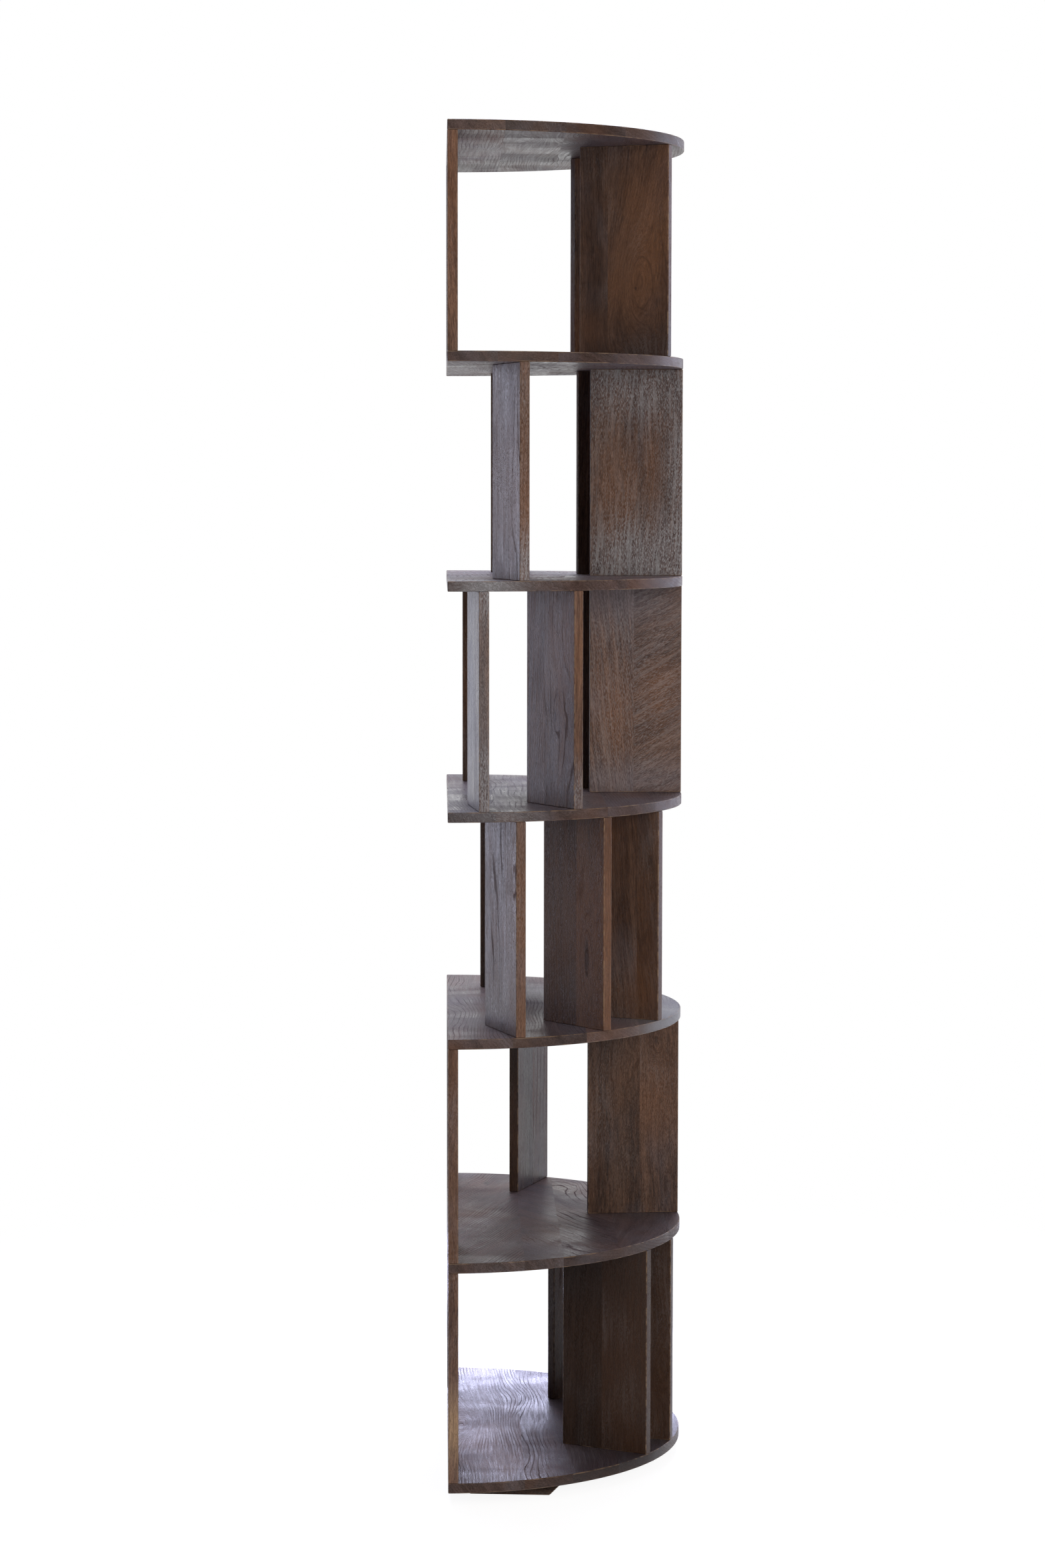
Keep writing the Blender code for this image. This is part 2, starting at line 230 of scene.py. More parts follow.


# Zones that the photograph shows
# Some zones are painted light, as marked below: painted shade, painted sheen and a painted
# reflection
PATCHES_AND_PAINTED_LIGHT = {
    "shelf_1": (Patch("matt", (-0.100, 0.140, 1.994), (0.30, 0.050, 0.01), 0.08),),
    "shelf_3": (
        Patch("chalk", (-0.345, 0.125, 1.345), (0.05, 0.045, 0.03), 1.0),
        # The pale flecks on the left of the rim are real; this second pale zone over them is
        # painted sheen
        Patch("fleck_and_sheen", (-0.345, 0.125, 1.345), (0.05, 0.045, 0.03), 0.45),
    ),
    "shelf_4": (
        Patch("chalk", (-0.345, 0.120, 1.012), (0.05, 0.060, 0.03), 0.5),
        # Painted sheen: a cool grey zone on the left of the top
        Patch("bloom_and_sheen", (-0.150, 0.130, 1.020), (0.30, 0.080, 0.01), 0.9),
        Patch("matt", (-0.050, 0.165, 1.020), (0.25, 0.050, 0.01), -0.11),
    ),
    "shelf_5": (
        # Painted sheen: two pale zones on the right of the rim, and a cool grey zone on the
        # left of the top
        Patch("fleck_and_sheen", (0.000, -0.180, 0.683), (0.18, 0.050, 0.02), 0.70),
        Patch("bloom_and_sheen", (-0.100, 0.150, 0.690), (0.25, 0.060, 0.01), 0.5),
        Patch("fleck_and_sheen", (-0.120, -0.155, 0.683), (0.12, 0.060, 0.02), 0.90),
        Patch("matt", (-0.020, 0.055, 0.690), (0.12, 0.040, 0.01), 0.28),
    ),
    "shelf_6": (Patch("matt", (0.200, 0.130, 0.361), (0.12, 0.080, 0.01), 0.10),),
    "shelf_7": (
        # Painted reflection: a pale zone at the back of the top, where it mirrors the light
        # behind
        Patch("fleck_and_sheen", (0.250, 0.130, 0.035), (0.14, 0.100, 0.01), 0.5),
        Patch("matt", (-0.100, 0.020, 0.035), (0.13, 0.090, 0.01), 0.22),
        Patch("matt", (-0.230, 0.110, 0.035), (0.10, 0.100, 0.01), 0.11),
        Patch("matt", (0.040, 0.060, 0.035), (0.03, 0.060, 0.01), 0.10),
        # Painted shade: a dark zone over the right of the top, at the nose
        Patch("dark", (-0.230, -0.070, 0.035), (0.16, 0.070, 0.01), 1.0),
    ),
    "bay_1_upright_2": (
        Patch("red", (-0.132, -0.112, 1.810), (0.03, 0.03, 0.09), 0.5),
        Patch("red", (-0.130, -0.106, 1.913), (0.03, 0.03, 0.05), 0.5),
        Patch("red", (-0.100, -0.035, 1.720), (0.02, 0.02, 0.03), 0.6),
        Patch("dark", (-0.101, -0.039, 1.816), (0.02, 0.02, 0.20), 0.4),
        # Darker towards the foot of the upright
        Patch("dark", (-0.140, -0.125, 1.690), (0.08, 0.08, 0.05), 0.9),
    ),
    "bay_2_upright_1": (
        Patch("matt", (-0.280, 0.090, 1.510), (0.15, 0.15, 0.20), 0.10),
        Patch("red", (-0.280, 0.090, 1.510), (0.15, 0.15, 0.20), 0.40),
        Patch("chalk", (-0.340, 0.070, 1.375), (0.03, 0.03, 0.05), 0.8),
        Patch("chalk", (-0.290, 0.090, 1.620), (0.06, 0.06, 0.05), 0.4),
    ),
    "bay_2_upright_2": (
        Patch("chalk", (-0.007, -0.110, 1.372), (0.11, 0.11, 0.060), 1.0),
        Patch("chalk", (-0.007, -0.090, 1.650), (0.10, 0.10, 0.055), 0.8),
        Patch("chalk", (-0.007, -0.175, 1.500), (0.02, 0.02, 0.150), 0.6),
        Patch("chalk", (-0.007, -0.110, 1.500), (0.12, 0.12, 0.150), 0.15),
        Patch("red", (-0.007, -0.079, 1.500), (0.03, 0.022, 0.080), 0.50),
        Patch("red", (-0.007, -0.133, 1.525), (0.03, 0.016, 0.080), 0.50),
    ),
    "bay_3_upright_1": (
        # Painted sheen: a pale zone over the broad face
        Patch("fleck_and_sheen", (-0.260, 0.140, 1.200), (0.08, 0.030, 0.200), 0.85),
        Patch("chalk", (-0.356, 0.127, 1.060), (0.03, 0.03, 0.07), 0.8),
        Patch("chalk", (-0.356, 0.127, 1.335), (0.03, 0.03, 0.04), 0.9),
    ),
    "bay_3_upright_2": (Patch("chalk", (-0.310, -0.010, 1.045), (0.03, 0.03, 0.04), 0.6),),
    "bay_3_upright_3": (
        Patch("chalk", (-0.003, -0.110, 1.180), (0.12, 0.12, 0.160), 0.35),
        Patch("bloom_and_sheen", (-0.003, -0.085, 1.320), (0.08, 0.08, 0.045), 0.7),
        Patch("bloom_and_sheen", (-0.003, -0.106, 1.040), (0.10, 0.10, 0.030), 0.6),
        Patch("red", (-0.003, -0.080, 1.140), (0.03, 0.024, 0.080), 0.55),
        Patch("red", (-0.003, -0.142, 1.172), (0.03, 0.030, 0.060), 0.45),
    ),
    "bay_4_upright_2": (
        Patch("dark", (-0.208, 0.003, 0.730), (0.08, 0.08, 0.06), 0.4),
        Patch("red", (-0.246, -0.025, 0.850), (0.14, 0.14, 0.16), 0.6),
    ),
    "bay_4_upright_3": (
        Patch("red", (-0.163, -0.117, 0.740), (0.03, 0.03, 0.060), 0.7),
        Patch("red", (-0.150, -0.070, 0.930), (0.03, 0.03, 0.080), 0.3),
    ),
    "bay_5_upright_2": (Patch("red", (0.018, -0.145, 0.538), (0.03, 0.03, 0.08), 0.5),),
    "bay_6_upright_1": (
        Patch("worn", (-0.360, 0.172, 0.120), (0.03, 0.03, 0.05), 0.75),
    ),
    "bay_6_upright_2": (
        Patch("red", (-0.184, -0.085, 0.104), (0.04, 0.04, 0.06), 0.4),
        Patch("red", (-0.186, -0.089, 0.220), (0.12, 0.12, 0.20), 0.8),
        # Darker towards the top of the upright, under shelf_6
        Patch("dark", (-0.150, -0.050, 0.300), (0.08, 0.08, 0.06), 0.5),
    ),
    "bay_6_upright_3": (Patch("red", (-0.113, -0.144, 0.150), (0.10, 0.10, 0.20), 0.7),),
}


class BookcaseShape(bpy.types.PropertyGroup):
    """Sizes of the finished wood"""

    rim_steps: IntProperty(
        name="Rim Steps", description="Facets in a whole turn of a board's round rim",
        default=360, min=48)
    edge_round: FloatProperty(
        name="Edge Rounding", description="Radius of the sanded edges",
        default=0.0013, min=0.0003, subtype="DISTANCE", unit="LENGTH", precision=4)
    edge_steps: IntProperty(
        name="Edge Steps", description="Facets across a sanded edge", default=3, min=1)


class BookcaseStain(bpy.types.PropertyGroup):
    """Colours and grain of the stained wood"""

    brown: FloatVectorProperty(
        name="Brown", description="Colour of the stained wood", subtype="COLOR",
        default=(0.185, 0.103, 0.064), min=0, max=1)
    board_brown: FloatVectorProperty(
        name="Board Brown", description="Colour of the boards' wood", subtype="COLOR",
        default=(0.156, 0.099, 0.083), min=0, max=1)
    dark: FloatVectorProperty(
        name="Dark Grain", description="Colour of the dense rings", subtype="COLOR",
        default=(0.050, 0.026, 0.018), min=0, max=1)
    red: FloatVectorProperty(
        name="Red Patches", description="Colour where the stain took less", subtype="COLOR",
        default=(0.215, 0.098, 0.045), min=0, max=1)
    # Cool grey of the bloom; laid in patches on some board tops it is painted sheen
    bloom_and_sheen: FloatVectorProperty(
        name="Bloom", description="Colour of the cool grey patches", subtype="COLOR",
        default=(0.182, 0.164, 0.180), min=0, max=1)
    # Pale of the filled pores; laid in patches it is also painted sheen, and at the back of
    # shelf_7's top a painted reflection
    fleck_and_sheen: FloatVectorProperty(
        name="Flecks", description="Colour of the pale filled pores", subtype="COLOR",
        default=(0.400, 0.410, 0.420), min=0, max=1)
    worn: FloatVectorProperty(
        name="Worn Edge", description="Colour of the rubbed edges", subtype="COLOR",
        default=(0.400, 0.270, 0.160), min=0, max=1)
    ring_width: FloatProperty(
        name="Ring Width", description="Usual width of a growth ring",
        default=0.0042, min=0.001, subtype="DISTANCE", unit="LENGTH", precision=4)
    board_ring_width: FloatProperty(
        name="Board Ring Width", description="Usual width of a growth ring in the boards",
        default=0.0042, min=0.001, subtype="DISTANCE", unit="LENGTH", precision=4)
    fibre_width: FloatProperty(
        name="Fibre Width", description="Usual width of a streak of fibres",
        default=0.0010, min=0.0002, subtype="DISTANCE", unit="LENGTH", precision=4)
    pore_width: FloatProperty(
        name="Pore Width", description="Usual width of a pore",
        default=0.0005, min=0.0002, subtype="DISTANCE", unit="LENGTH", precision=4)
    pore_length: FloatProperty(
        name="Pore Length", description="Usual length of a pore",
        default=0.0048, min=0.001, subtype="DISTANCE", unit="LENGTH", precision=4)


class BookcaseStudio(bpy.types.PropertyGroup):
    """Light around the bookcase"""

    room: FloatProperty(
        name="Room Light", description="Strength of the light that comes from all round",
        default=0.14, min=0)
    panels: FloatProperty(
        name="Panels", description="How strong the light panels are beside their usual power",
        default=1.0, min=0, subtype="FACTOR")
    cool: FloatVectorProperty(
        name="Cool Light", description="Colour of the light from behind", subtype="COLOR",
        default=(0.66, 0.68, 1.0), min=0, max=1)
    warm: FloatVectorProperty(
        name="Warm Light", description="Colour of the light from before", subtype="COLOR",
        default=(1.0, 0.94, 0.92), min=0, max=1)


# Light panels: place of the middle, height that they look at, width and
# height, and power in watts
WARM_PANELS = {
    "key": ((-4.0, -1.9, 1.7), 1.0, (1.8, 2.4), 91.0),
    "front_high": ((-3.2, 0.0, 3.4), 1.0, (2.4, 2.4), 17.0),
}
COOL_PANELS = {
    "back_right": ((2.6, -2.6, 1.4), 1.0, (2.2, 2.4), 24.0),
    "back_left": ((2.6, 2.6, 1.4), 1.0, (2.2, 2.4), 29.0),
    "back_low": ((0.75, 0.1, 0.12), 0.12, (1.0, 0.12), 4.2),
    "top_back": ((2.2, 0.0, 3.9), 1.0, (2.4, 2.0), 125.0),
}


class Tree:
    """A node tree, built one node at a time."""

    def __init__(self, tree):
        self.nodes = tree.nodes
        self.links = tree.links

    def add(self, kind, inputs=None, output=0, **settings):
        """Add a node; an input is a plain value or another node's socket."""
        node = self.nodes.new(kind)
        for key, value in settings.items():
            setattr(node, key, value)
        for key, value in (inputs or {}).items():
            self.feed(node.inputs[key], value)
        return node.outputs[output]

    def feed(self, socket, value):
        if isinstance(value, bpy.types.NodeSocket):
            self.links.new(value, socket)
        else:
            socket.default_value = value

    def math(self, operation, *values, clamp=False):
        inputs = dict(enumerate(values))
        return self.add("ShaderNodeMath", inputs, operation=operation, use_clamp=clamp)

    def plus(self, first, second, clamp=False):
        return self.math("ADD", first, second, clamp=clamp)

    def minus(self, first, second):
        return self.math("SUBTRACT", first, second)

    def times(self, first, second):
        return self.math("MULTIPLY", first, second)

    def over(self, first, second):
        return self.math("DIVIDE", first, second)

    def larger(self, first, second):
        return self.math("MAXIMUM", first, second)

    def stretched(self, vector, scale):
        """A vector with each part multiplied by its own number."""
        inputs = {0: vector, 1: scale}
        return self.add("ShaderNodeVectorMath", inputs, operation="MULTIPLY")

    def length(self, vector):
        return self.add("ShaderNodeVectorMath", {0: vector}, "Value", operation="LENGTH")

    def noise(self, vector, detail=2.0, distortion=0.0):
        inputs = {"Vector": vector, "Scale": 1.0, "Detail": detail, "Distortion": distortion}
        return self.add("ShaderNodeTexNoise", inputs)

    def ramp(self, value, low, high):
        """A number that climbs smoothly from 0 to 1 while value goes from low to high."""
        inputs = {"Value": value, "From Min": low, "From Max": high}
        return self.add("ShaderNodeMapRange", inputs, interpolation_type="SMOOTHSTEP")

    def mix(self, share, first, second, blend="MIX"):
        """A colour between two others, with as much of the second as share says."""
        node = self.nodes.new("ShaderNodeMix")
        node.data_type = "RGBA"
        node.blend_type = blend
        self.feed(node.inputs[0], share)
        self.feed(node.inputs[6], first)
        self.feed(node.inputs[7], second)
        return node.outputs[2]

    def object_place(self):
        """Where a point of the surface lies in the bookcase's own frame."""
        return self.add("ShaderNodeTexCoord", output="Object")


class Recipe(Tree):
    """The node tree of one material."""

    def __init__(self, name):
        self.material = bpy.data.materials.new(name)
        self.material.use_nodes = True
        super().__init__(self.material.node_tree)
        self.shader = self.nodes["Principled BSDF"]

    def attribute(self, name, output="Fac"):
        return self.add("ShaderNodeAttribute", attribute_name=name, output=output)

    def set_shader(self, values):
        """Give sockets of the shader a plain value or another node's socket."""
        for key, value in values.items():
            self.feed(self.shader.inputs[key], value)


def rgba(colour):
    return (*colour, 1.0)


def grey(level):
    return (level, level, level, 1.0)


WHITE = grey(1.0)


def zone_distance(recipe, zone):
    """Distance from a knot or a zone, with 1 at the end of its reach."""
    inputs = {"Vector": recipe.object_place(), "Location": zone.place, "Scale": zone.reach}
    return recipe.length(recipe.add("ShaderNodeMapping", inputs, vector_type="TEXTURE"))


def zone_swell(recipe, distance):
    """A soft hump, 1 in the middle of a zone and next to nothing at twice its reach."""
    square = recipe.times(distance, distance)
    return recipe.math("EXPONENT", recipe.times(square, -1.0))


class Timber(NamedTuple):
    """How the wood of one kind of piece differs from the others'.

    Relief is how far pores and streaks stand out in the gloss, rings is how
    far ring lines do, smears is how uneven the polish is, and dullness is the
    roughness of the wood between them.  Bloom and shade are how much of the
    cool grey and of the dark stain the wood took; the same cool grey, laid in
    patches on some board tops, is painted sheen.
    """

    brown: tuple
    ring_width: float
    relief: float
    rings: float
    smears: float
    dullness: float
    bloom_and_sheen: float
    shade: float


def board_timber(name, stain):
    """The boards are smoother and greyer, with weaker ring lines."""
    return Timber(
        stain.board_brown, RING_WIDTHS.get(name, stain.board_ring_width), relief=0.55,
        rings=RING_STRENGTHS.get(name, BOARD_RINGS), smears=0.14, dullness=0.18,
        bloom_and_sheen=0.36, shade=0.25)


def upright_timber(brown, ring_width, rings=0.8, bloom_and_sheen=0.24, shade=0.22):
    """The uprights are glossier, and their pores stand out."""
    return Timber(
        brown, ring_width, relief=0.80, rings=rings, smears=0.08, dullness=0.08,
        bloom_and_sheen=bloom_and_sheen, shade=shade)


# How fast each slow change of the wood goes along, across and through the
# grain, in turns per metre
PACES = {
    "wander": (4.0, 12.0, 12.0),
    "ripple": (25.0, 60.0, 60.0),
    "clear_lines": (6.0, 14.0, 14.0),
    "clouds": (4.0, 10.0, 10.0),
    "veils": (7.0, 16.0, 16.0),
    "filler": (9.0, 16.0, 16.0),
    "rub": (90.0, 40.0, 40.0),
    "smears": (9.0, 4.5, 4.5),
}

# From where to where in its noise each part of the wood sets in
ONSETS = {
    "bands": (0.34, 0.66),
    "strands": (0.25, 0.75),
    "pale_strands": (0.58, 0.82),
    "open_pores": (0.52, 0.66),
    "filled_pores": (0.50, 0.38),
    "lines": (0.25, 0.02),
    "clear_lines": (0.42, 0.62),
    "body": (0.20, 0.84),
    "red_clouds": (0.46, 0.72),
    "dark_clouds": (0.50, 0.30),
    "veils": (0.48, 0.74),
    "filler": (0.40, 0.75),
    "rub": (0.38, 0.66),
    "smears": (0.34, 0.66),
}

# How much each part of the wood adds to its colour, its lightness and its
# dullness
BODY_SHARES = {"bands": 0.24, "strands": 0.13, "fibres": 0.65}
LIGHT_SHARES = {"strands": 0.10, "fibres": 0.80}
DULL_SHARES = {"fibres": 0.20, "strands": 0.24, "bands": 0.08, "open_pores": 0.20}

# Sizes of the streaks in metres: width across the rings, length along the
# grain and depth through it
BAND_RINGS = 2
BAND_LENGTH = 0.60
BAND_DEPTH = 0.20
STRAND_SIZE = (0.0022, 0.09, 0.0050)
FIBRE_LENGTH = 0.018
FIBRE_DEPTH = 0.0020

# How far the fine ripple pushes a ring line, in metres
RIPPLE_REACH = 0.0026
# How clear the ring lines are round a knot
KNOT_CLEARNESS = 0.8
# The share of a knot's heart that is dark all over
HEART_CORE = 0.3

# How strongly each part of the wood shows
RED_STRENGTH = 0.50
CHALK_VEIL = 0.40
LEAST_FILLER = 0.02
MORE_FILLER = 0.16
TONE_STEP = 0.26
STREAK_LEVEL = 0.53
PORE_DARKNESS = 0.45
LINE_DARKNESS = 0.60
LINE_DULLNESS = 0.50
PALE_STRAND_STRENGTH = 0.50
HEART_DARKNESS = 0.80
WORN_STRENGTH = 0.48
FIBRE_HEIGHT = 0.8
RELIEF_STRENGTH = 0.7

# How deep an open pore is, in metres
PORE_DEPTH = 0.0004

# The polish: a low gloss, with a faint cool sheen at the edge of the view
GLOSS = {
    "Specular IOR Level": 0.20,
    "Sheen Weight": 0.05,
    "Sheen Roughness": 0.45,
    "Sheen Tint": (0.72, 0.70, 1.0, 1),
}


class Wood:
    """The grain of one stained wood and the finish that follows it."""

    def __init__(self, recipe, stain, timber, knots):
        self.recipe = recipe
        self.stain = stain
        self.timber = timber
        self.grain = recipe.attribute("grain", "Vector")
        parts = recipe.add("ShaderNodeSeparateXYZ", {0: self.grain}).node.outputs
        self.along, self.radial, self.tangent = parts[0], parts[1], parts[2]
        self.hearts = []
        self.knotty = 0.0
        self.place = self.bend_rings(knots)
        bands = self.streaks(timber.ring_width * BAND_RINGS, BAND_LENGTH, BAND_DEPTH)
        pores = self.streaks(stain.pore_width, stain.pore_length, stain.pore_width)
        self.bands = self.onset("bands", bands)
        self.strands = self.onset("strands", self.streaks(*STRAND_SIZE))
        self.fibres = self.streaks(stain.fibre_width, FIBRE_LENGTH, FIBRE_DEPTH, detail=3.0)
        self.open_pores = self.onset("open_pores", pores)
        self.filled_pores = self.onset("filled_pores", pores)
        self.lines = self.ring_lines()

    def slow_change(self, part, detail=2.0, distortion=0.0):
        """Noise for one of the slow changes of the wood."""
        grain = self.recipe.stretched(self.grain, PACES[part])
        return self.recipe.noise(grain, detail, distortion)

    def streaks(self, width, length, depth, detail=2.0):
        """Noise drawn out along the grain, its streaks bent round the rings."""
        recipe = self.recipe
        inputs = {"X": recipe.over(self.place, width),
                  "Y": recipe.over(self.along, length),
                  "Z": recipe.over(self.tangent, depth)}
        return recipe.noise(recipe.add("ShaderNodeCombineXYZ", inputs), detail)

    def onset(self, part, value):
        """How far a part of the wood has set in, from 0 to 1."""
        return self.recipe.ramp(value, *ONSETS[part])

    def total(self, shares):
        """The sum of some parts of the wood, each with its own share."""
        total = 0.0
        for part, share in shares.items():
            total = self.recipe.plus(total, self.recipe.times(getattr(self, part), share))
        return total

    def bend_rings(self, knots):
        """The place among the rings, after slow wander and knots."""
        recipe = self.recipe
        slow = recipe.minus(self.slow_change("wander", detail=1.0), 0.5)
        place = recipe.plus(self.radial, recipe.times(slow, recipe.attribute("swirl")))
        for knot in knots:
            distance = zone_distance(recipe, knot)
            swell = zone_swell(recipe, distance)
            place = recipe.plus(place, recipe.times(swell, knot.push))
            clearer = recipe.times(swell, KNOT_CLEARNESS)
            self.knotty = recipe.plus(self.knotty, clearer, clamp=True)
            if knot.heart:
                rim = recipe.ramp(distance, knot.heart * HEART_CORE, knot.heart)
                self.hearts.append(recipe.minus(1.0, rim))
        return place

    def ring_lines(self):
        """Ring lines with a fine ripple, which come and go."""
        recipe = self.recipe
        ripple = recipe.times(recipe.minus(self.slow_change("ripple"), 0.5), RIPPLE_REACH)
        half_ring = self.timber.ring_width / 2
        ring = recipe.math("PINGPONG", recipe.plus(self.place, ripple), half_ring)
        ring = recipe.over(ring, half_ring)
        clear = self.onset("clear_lines", self.slow_change("clear_lines"))
        clear = recipe.plus(clear, self.knotty, clamp=True)
        return recipe.times(self.onset("lines", ring), clear)

    def ground_colour(self):
        """The stain in dense and open wood, with its red, dark and grey clouds."""
        recipe = self.recipe
        stain = self.stain
        clouds = self.slow_change("clouds")
        veils = self.slow_change("veils", distortion=0.4)
        body = self.onset("body", self.total(BODY_SHARES))
        colour = recipe.mix(body, rgba(stain.dark), rgba(self.timber.brown))
        red = recipe.times(self.onset("red_clouds", clouds), RED_STRENGTH)
        colour = recipe.mix(red, colour, rgba(stain.red))
        shade = recipe.times(self.onset("dark_clouds", clouds), self.timber.shade)
        colour = recipe.mix(shade, colour, rgba(stain.dark))
        bloom_and_sheen = recipe.times(self.onset("veils", veils), self.timber.bloom_and_sheen)
        return recipe.mix(bloom_and_sheen, colour, rgba(stain.bloom_and_sheen))

    def lay_patches(self, colour, patches):
        """The colour under its patches, painted shade and painted sheen among them, with the
        share of filler and the lack of polish.
        """
        recipe = self.recipe
        filler = self.onset("filler", self.slow_change("filler", detail=1.0))
        filler = recipe.plus(LEAST_FILLER, recipe.times(filler, MORE_FILLER))
        matt = 0.0
        for patch in patches:
            swell = zone_swell(recipe, zone_distance(recipe, patch))
            share = recipe.times(swell, patch.share)
            if patch.kind == "matt":
                matt = recipe.plus(matt, share)
            elif patch.kind == "chalk":
                filler = recipe.plus(filler, share, clamp=True)
                veil = recipe.times(share, CHALK_VEIL)
                colour = recipe.mix(veil, colour, rgba(self.stain.bloom_and_sheen))
            else:
                colour = recipe.mix(share, colour, rgba(getattr(self.stain, patch.kind)))
        return colour, filler, matt

    def tone_staves(self, colour):
        """Each stave and each streak is a little lighter or darker; on some staves the darker
        tone is painted shade.
        """
        recipe = self.recipe
        tone = recipe.plus(1.0, recipe.times(recipe.attribute("tone"), TONE_STEP))
        level = recipe.times(tone, recipe.plus(STREAK_LEVEL, self.total(LIGHT_SHARES)))
        tint = recipe.add("ShaderNodeCombineColor", {0: level, 1: level, 2: level})
        return recipe.mix(1.0, colour, tint, "MULTIPLY")

    def draw_pores(self, colour, filler):
        """Open pores, ring lines and knots are dark, and filled pores pale."""
        recipe = self.recipe
        stain = self.stain
        pores = recipe.times(self.open_pores, PORE_DARKNESS)
        lines = recipe.times(self.lines, LINE_DARKNESS * self.timber.rings)
        colour = recipe.mix(recipe.larger(pores, lines), colour, rgba(stain.dark))
        strands = self.onset("pale_strands", self.strands)
        strands = recipe.times(strands, PALE_STRAND_STRENGTH)
        flecks = recipe.times(recipe.larger(self.filled_pores, strands), filler)
        colour = recipe.mix(flecks, colour, rgba(stain.fleck_and_sheen))
        for heart in self.hearts:
            dark = recipe.times(heart, HEART_DARKNESS)
            colour = recipe.mix(dark, colour, rgba(stain.dark))
        return colour

    def rub_edges(self, colour):
        recipe = self.recipe
        rub = self.onset("rub", self.slow_change("rub", detail=3.0))
        worn = recipe.times(recipe.attribute("edge"), rub)
        return recipe.mix(recipe.times(worn, WORN_STRENGTH), colour, rgba(self.stain.worn))

    def dullness(self, matt):
        """Pores and ring lines are dull, and the polish is uneven."""
        recipe = self.recipe
        uneven = recipe.times(self.total(DULL_SHARES), self.timber.relief)
        lines = recipe.times(self.lines, LINE_DULLNESS * self.timber.rings)
        uneven = recipe.plus(uneven, lines)
        smears = self.onset("smears", self.slow_change("smears", distortion=0.8))
        smears = recipe.times(smears, self.timber.smears)
        uneven = recipe.plus(recipe.plus(uneven, smears), matt)
        return recipe.plus(self.timber.dullness, uneven, clamp=True)

    def relief(self):
        """Fibres stand up a little, and open pores are sunk."""
        recipe = self.recipe
        height = recipe.minus(recipe.times(self.fibres, FIBRE_HEIGHT), self.open_pores)
        return recipe.add("ShaderNodeBump", {
            "Strength": RELIEF_STRENGTH * self.timber.relief, "Distance": PORE_DEPTH,
            "Height": height})


def stained_wood(name, stain, timber, node=None):
    """Dark stained wood, with the knots and patches of a node if it has its own; among the
    patches are painted shade and painted sheen.
    """
    recipe = Recipe(name)
    wood = Wood(recipe, stain, timber, KNOTS.get(node, ()))
    colour, filler, matt = wood.lay_patches(wood.ground_colour(), PATCHES_AND_PAINTED_LIGHT.get(node, ()))
    colour = wood.draw_pores(wood.tone_staves(colour), filler)
    recipe.set_shader({
        "Base Color": wood.rub_edges(colour),
        "Roughness": wood.dullness(matt),
        "Normal": wood.relief(),
    })
    recipe.set_shader(GLOSS)
    return recipe.material


class Axes:
    """Directions of a piece's grain, with a point to measure them from."""

    def __init__(self, start, along, across):
        self.start = Vector(start)
        self.along = Vector(along).normalized()
        self.across = Vector(across).normalized()
        self.through = self.along.cross(self.across)

    def measure(self, point):
        reach = point - self.start
        return Vector((reach.dot(self.along), reach.dot(self.across), reach.dot(self.through)))

    def matrix(self):
        """From sizes along, across and through the piece to its place."""
        turn = Matrix((self.along, self.across, self.through)).transposed()
        return Matrix.Translation(self.start) @ turn.to_4x4()


# Where a stave comes from: up to this far into the log each way, rolled round
# its length by this much in radians, and with this share of the most swirl
LOG_REACH = 9
ROLLS = (0.50, 1.45)
SWIRLS = (0.25, 1.0)

# The most that a stave leans, in degrees, and that its tone differs by dice
MOST_LEAN = 3
MOST_TONE = 0.9

# The most that the rings wander, in metres
BOARD_SWIRL = 0.050
UPRIGHT_SWIRL = 0.030


class Stave:
    """One strip of wood and the part of the log that it was sawn from."""

    def __init__(self, dice, lean, tone, most_swirl):
        self.offset = Vector([dice.uniform(0, LOG_REACH) for _ in range(3)])
        roll = Matrix.Rotation(dice.uniform(*ROLLS), 3, "X")
        self.turn = roll @ Matrix.Rotation(math.radians(lean), 3, "Z")
        self.swirl = dice.uniform(*SWIRLS) * most_swirl
        self.tone = tone

    def place(self, local):
        return self.turn @ local + self.offset


# End grain takes more stain
END_GRAIN_DARKER = 1.0

# A sanded edge faces neither square on nor edge on to the broad face
EDGE_ON = 0.02
SQUARE_ON = 0.98


def mark_grain(shape, axes, seams, name, most_swirl):
    """Write each stave's place in its log on the faces, and mark the sanded edges."""
    dice = random.Random(name)
    count = len(seams) + 1
    leans = LEANS.get(name) or [dice.uniform(-MOST_LEAN, MOST_LEAN) for _ in range(count)]
    # Some staves' tones are painted shade, for parts that stand in shadow
    tones = TONES_AND_SHADE.get(name) or [dice.uniform(-MOST_TONE, MOST_TONE) for _ in range(count)]
    staves = [Stave(dice, lean, tone, most_swirl) for lean, tone in zip(leans, tones)]
    grain = shape.loops.layers.float_vector.new("grain")
    swirl = shape.loops.layers.float.new("swirl")
    tone = shape.loops.layers.float.new("tone")
    edge = shape.loops.layers.float.new("edge")
    for face in shape.faces:
        middle = axes.measure(face.calc_center_median())
        stave = staves[sum(middle.y > seam for seam in seams)]
        sanded = EDGE_ON < abs(face.normal.dot(axes.through)) < SQUARE_ON
        end_grain = abs(face.normal.dot(axes.along)) ** 2
        for loop in face.loops:
            loop[grain] = stave.place(axes.measure(loop.vert.co))
            loop[swirl] = stave.swirl
            loop[tone] = stave.tone - END_GRAIN_DARKER * end_grain
            loop[edge] = 1.0 if sanded else 0.0


# Points closer than this are one point
SAME_POINT = 1e-6


